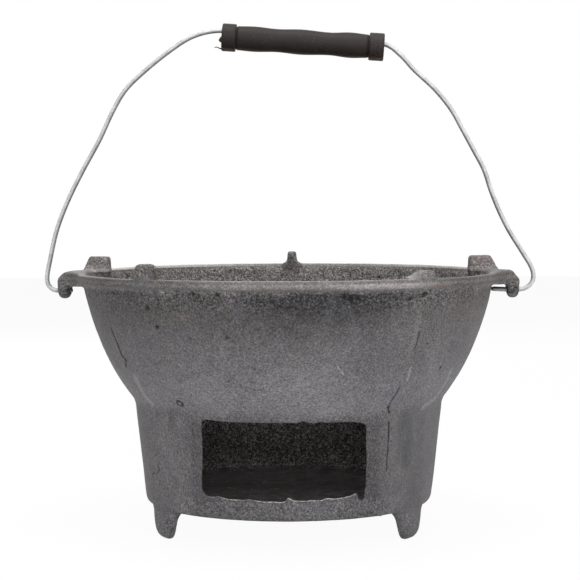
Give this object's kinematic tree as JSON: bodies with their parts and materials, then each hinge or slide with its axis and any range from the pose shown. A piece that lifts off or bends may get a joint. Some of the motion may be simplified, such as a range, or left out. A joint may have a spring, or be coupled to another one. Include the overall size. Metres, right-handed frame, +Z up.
{
  "type": "charcoal stove",
  "caption": "Cast-iron charcoal stove: a fire bowl with pot rests on an ash drum with an air door, a loose grate, stub feet and a wire bail with a moulded hand grip.",
  "frame": {"origin": "on the floor, under the axis of the fire bowl", "axes": "+Z up along the bowl's axis, +X through the bail's ears to the right of the air door, -Y out of the air door"},
  "size_m": [0.3329, 0.2834, 0.3399],
  "materials": {
    "casting": "rough sand-cast",
    "sooty_iron": "rough sand-cast, sooty",
    "zinc_wire": "drawn and galvanised",
    "grip_plastic": "moulded, matt"
  },
  "bodies": {
    "stove": {"stove_body": "casting"},
    "grate": {"fire_grate": "sooty_iron"},
    "bail": {"bail_wire": "zinc_wire"},
    "grip": {"hand_grip": "grip_plastic"}
  },
  "joints": [
    {"name": "grate_lift", "type": "slide", "parent": "stove", "child": "grate", "axis": [0, 0, 1], "range_m": [0, 0.14]},
    {"name": "bail_swing", "type": "hinge", "parent": "stove", "child": "bail", "pos_m": [0, 0, 0.1606], "axis": [1, 0, 0], "range_deg": [-139, 139]},
    {"name": "grip_spin", "type": "hinge", "parent": "bail", "child": "grip", "pos_m": [0.01105, 0, 0.32705], "axis": [0.998, 0, -0.0637], "continuous": true}
  ]
}
